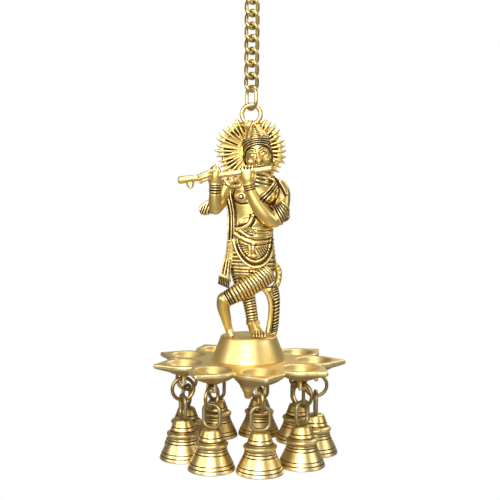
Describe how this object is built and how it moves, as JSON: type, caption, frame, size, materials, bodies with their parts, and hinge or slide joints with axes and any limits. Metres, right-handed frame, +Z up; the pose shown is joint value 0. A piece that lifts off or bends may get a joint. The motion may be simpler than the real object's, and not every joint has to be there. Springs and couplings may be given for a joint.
{
  "type": "hanging chain oil lamp",
  "caption": "Hanging brass oil lamp: a flute-playing figure with a rayed halo on a petalled dish of oil cups, bells hanging below, and a curb chain with a hook above.",
  "frame": {"origin": "inside top of the hook's throat, where the lamp hangs from its support", "axes": "+Z up along the hanging chain, -Y the side that the figure faces"},
  "size_m": [0.1496, 0.1519, 0.4015],
  "materials": {
    "antique_brass": "cast brass with dark patina in the recesses",
    "polished_brass": "satin polished brass",
    "chain_brass": "aged brass wire",
    "dark_brass": "unpolished brass"
  },
  "bodies": {
    "hook": {"top_hook": "chain_brass"},
    "link_1": {"chain_link_1": "chain_brass"},
    "link_2": {"chain_link_2": "chain_brass"},
    "link_3": {"chain_link_3": "chain_brass"},
    "link_4": {"chain_link_4": "chain_brass"},
    "link_5": {"chain_link_5": "chain_brass"},
    "link_6": {"chain_link_6": "chain_brass"},
    "link_7": {"chain_link_7": "chain_brass"},
    "link_8": {"chain_link_8": "chain_brass"},
    "connector": {"connector_link": "chain_brass"},
    "lamp": {"figure": "antique_brass", "pedestal": "polished_brass", "lamp_dish": "polished_brass", "clamp_stud": "dark_brass", "finial_nut": "polished_brass"},
    "ring_1": {"bell_ring_1": "chain_brass"},
    "bell_1": {"bell_1": "antique_brass"},
    "clapper_1": {"clapper_1": "dark_brass"},
    "ring_2": {"bell_ring_2": "chain_brass"},
    "bell_2": {"bell_2": "antique_brass"},
    "clapper_2": {"clapper_2": "dark_brass"},
    "ring_3": {"bell_ring_3": "chain_brass"},
    "bell_3": {"bell_3": "antique_brass"},
    "clapper_3": {"clapper_3": "dark_brass"},
    "ring_4": {"bell_ring_4": "chain_brass"},
    "bell_4": {"bell_4": "antique_brass"},
    "clapper_4": {"clapper_4": "dark_brass"},
    "ring_5": {"bell_ring_5": "chain_brass"},
    "bell_5": {"bell_5": "antique_brass"},
    "clapper_5": {"clapper_5": "dark_brass"},
    "ring_6": {"bell_ring_6": "chain_brass"},
    "bell_6": {"bell_6": "antique_brass"},
    "clapper_6": {"clapper_6": "dark_brass"},
    "ring_7": {"bell_ring_7": "chain_brass"},
    "bell_7": {"bell_7": "antique_brass"},
    "clapper_7": {"clapper_7": "dark_brass"},
    "ring_8": {"bell_ring_8": "chain_brass"},
    "bell_8": {"bell_8": "antique_brass"},
    "clapper_8": {"clapper_8": "dark_brass"},
    "ring_9": {"bell_ring_9": "chain_brass"},
    "bell_9": {"bell_9": "antique_brass"},
    "clapper_9": {"clapper_9": "dark_brass"}
  },
  "joints": [
    {"name": "chain_swing_1", "type": "hinge", "parent": "hook", "child": "link_1", "pos_m": [0, 0, -0.03459], "axis": [0.7071, 0.7071, 0], "range_deg": [-15, 15]},
    {"name": "chain_swing_2", "type": "hinge", "parent": "link_1", "child": "link_2", "pos_m": [0, 0, -0.04069], "axis": [0.7071, -0.7071, 0], "range_deg": [-15, 15]},
    {"name": "chain_swing_3", "type": "hinge", "parent": "link_2", "child": "link_3", "pos_m": [0, 0, -0.05379], "axis": [0.7071, 0.7071, 0], "range_deg": [-15, 15]},
    {"name": "chain_swing_4", "type": "hinge", "parent": "link_3", "child": "link_4", "pos_m": [0, 0, -0.05989], "axis": [0.7071, -0.7071, 0], "range_deg": [-15, 15]},
    {"name": "chain_swing_5", "type": "hinge", "parent": "link_4", "child": "link_5", "pos_m": [0, 0, -0.07299], "axis": [0.7071, 0.7071, 0], "range_deg": [-15, 15]},
    {"name": "chain_swing_6", "type": "hinge", "parent": "link_5", "child": "link_6", "pos_m": [0, 0, -0.07909], "axis": [0.7071, -0.7071, 0], "range_deg": [-15, 15]},
    {"name": "chain_swing_7", "type": "hinge", "parent": "link_6", "child": "link_7", "pos_m": [0, 0, -0.09219], "axis": [0.7071, 0.7071, 0], "range_deg": [-15, 15]},
    {"name": "chain_swing_8", "type": "hinge", "parent": "link_7", "child": "link_8", "pos_m": [0, 0, -0.09829], "axis": [0.7071, -0.7071, 0], "range_deg": [-15, 15]},
    {"name": "connector_swing", "type": "hinge", "parent": "link_8", "child": "connector", "pos_m": [0, 0, -0.11139], "axis": [0.7071, 0.7071, 0], "range_deg": [-15, 15]},
    {"name": "lamp_swing", "type": "hinge", "parent": "connector", "child": "lamp", "pos_m": [0, 0, -0.12219], "axis": [1, 0, 0], "range_deg": [-15, 15]},
    {"name": "ring_swing_1", "type": "hinge", "parent": "lamp", "child": "ring_1", "pos_m": [0.00873, -0.05097, -0.33719], "axis": [-0.9854, -0.1702, 0], "range_deg": [0, 20]},
    {"name": "bell_swing_1", "type": "hinge", "parent": "ring_1", "child": "bell_1", "pos_m": [0.00873, -0.05097, -0.34769], "axis": [-0.9854, -0.1702, 0], "range_deg": [0, 25]},
    {"name": "clapper_swing_1", "type": "hinge", "parent": "bell_1", "child": "clapper_1", "pos_m": [0.00873, -0.05097, -0.37209], "axis": [-0.9854, -0.1702, 0], "range_deg": [-22, 22]},
    {"name": "ring_swing_2", "type": "hinge", "parent": "lamp", "child": "ring_2", "pos_m": [0.04058, -0.03273, -0.33719], "axis": [-0.6455, -0.7638, 0], "range_deg": [0, 20]},
    {"name": "bell_swing_2", "type": "hinge", "parent": "ring_2", "child": "bell_2", "pos_m": [0.04058, -0.03273, -0.34769], "axis": [-0.6455, -0.7638, 0], "range_deg": [0, 25]},
    {"name": "clapper_swing_2", "type": "hinge", "parent": "bell_2", "child": "clapper_2", "pos_m": [0.04058, -0.03273, -0.37209], "axis": [-0.6455, -0.7638, 0], "range_deg": [-22, 22]},
    {"name": "ring_swing_3", "type": "hinge", "parent": "lamp", "child": "ring_3", "pos_m": [0.05325, 0.00171, -0.33719], "axis": [-0.0035, -1, 0], "range_deg": [0, 20]},
    {"name": "bell_swing_3", "type": "hinge", "parent": "ring_3", "child": "bell_3", "pos_m": [0.05325, 0.00171, -0.34769], "axis": [-0.0035, -1, 0], "range_deg": [0, 25]},
    {"name": "clapper_swing_3", "type": "hinge", "parent": "bell_3", "child": "clapper_3", "pos_m": [0.05325, 0.00171, -0.37209], "axis": [-0.0035, -1, 0], "range_deg": [-22, 22]},
    {"name": "ring_swing_4", "type": "hinge", "parent": "lamp", "child": "ring_4", "pos_m": [0.04082, 0.03624, -0.33719], "axis": [0.6401, -0.7683, 0], "range_deg": [0, 20]},
    {"name": "bell_swing_4", "type": "hinge", "parent": "ring_4", "child": "bell_4", "pos_m": [0.04082, 0.03624, -0.34769], "axis": [0.6401, -0.7683, 0], "range_deg": [0, 25]},
    {"name": "clapper_swing_4", "type": "hinge", "parent": "bell_4", "child": "clapper_4", "pos_m": [0.04082, 0.03624, -0.37209], "axis": [0.6401, -0.7683, 0], "range_deg": [-22, 22]},
    {"name": "ring_swing_5", "type": "hinge", "parent": "lamp", "child": "ring_5", "pos_m": [0.0091, 0.0547, -0.33719], "axis": [0.9842, -0.1771, 0], "range_deg": [0, 20]},
    {"name": "bell_swing_5", "type": "hinge", "parent": "ring_5", "child": "bell_5", "pos_m": [0.0091, 0.0547, -0.34769], "axis": [0.9842, -0.1771, 0], "range_deg": [0, 25]},
    {"name": "clapper_swing_5", "type": "hinge", "parent": "bell_5", "child": "clapper_5", "pos_m": [0.0091, 0.0547, -0.37209], "axis": [0.9842, -0.1771, 0], "range_deg": [-22, 22]},
    {"name": "ring_swing_6", "type": "hinge", "parent": "lamp", "child": "ring_6", "pos_m": [-0.02706, 0.04846, -0.33719], "axis": [0.8678, 0.497, 0], "range_deg": [0, 20]},
    {"name": "bell_swing_6", "type": "hinge", "parent": "ring_6", "child": "bell_6", "pos_m": [-0.02706, 0.04846, -0.34769], "axis": [0.8678, 0.497, 0], "range_deg": [0, 25]},
    {"name": "clapper_swing_6", "type": "hinge", "parent": "bell_6", "child": "clapper_6", "pos_m": [-0.02706, 0.04846, -0.37209], "axis": [0.8678, 0.497, 0], "range_deg": [-22, 22]},
    {"name": "ring_swing_7", "type": "hinge", "parent": "lamp", "child": "ring_7", "pos_m": [-0.05075, 0.02043, -0.33719], "axis": [0.3453, 0.9385, 0], "range_deg": [0, 20]},
    {"name": "bell_swing_7", "type": "hinge", "parent": "ring_7", "child": "bell_7", "pos_m": [-0.05075, 0.02043, -0.34769], "axis": [0.3453, 0.9385, 0], "range_deg": [0, 25]},
    {"name": "clapper_swing_7", "type": "hinge", "parent": "bell_7", "child": "clapper_7", "pos_m": [-0.05075, 0.02043, -0.37209], "axis": [0.3453, 0.9385, 0], "range_deg": [-22, 22]},
    {"name": "ring_swing_8", "type": "hinge", "parent": "lamp", "child": "ring_8", "pos_m": [-0.05088, -0.01627, -0.33719], "axis": [-0.3387, 0.9409, 0], "range_deg": [0, 20]},
    {"name": "bell_swing_8", "type": "hinge", "parent": "ring_8", "child": "bell_8", "pos_m": [-0.05088, -0.01627, -0.34769], "axis": [-0.3387, 0.9409, 0], "range_deg": [0, 25]},
    {"name": "clapper_swing_8", "type": "hinge", "parent": "bell_8", "child": "clapper_8", "pos_m": [-0.05088, -0.01627, -0.37209], "axis": [-0.3387, 0.9409, 0], "range_deg": [-22, 22]},
    {"name": "ring_swing_9", "type": "hinge", "parent": "lamp", "child": "ring_9", "pos_m": [-0.02739, -0.04447, -0.33719], "axis": [-0.8643, 0.503, 0], "range_deg": [0, 20]},
    {"name": "bell_swing_9", "type": "hinge", "parent": "ring_9", "child": "bell_9", "pos_m": [-0.02739, -0.04447, -0.34769], "axis": [-0.8643, 0.503, 0], "range_deg": [0, 25]},
    {"name": "clapper_swing_9", "type": "hinge", "parent": "bell_9", "child": "clapper_9", "pos_m": [-0.02739, -0.04447, -0.37209], "axis": [-0.8643, 0.503, 0], "range_deg": [-22, 22]}
  ]
}
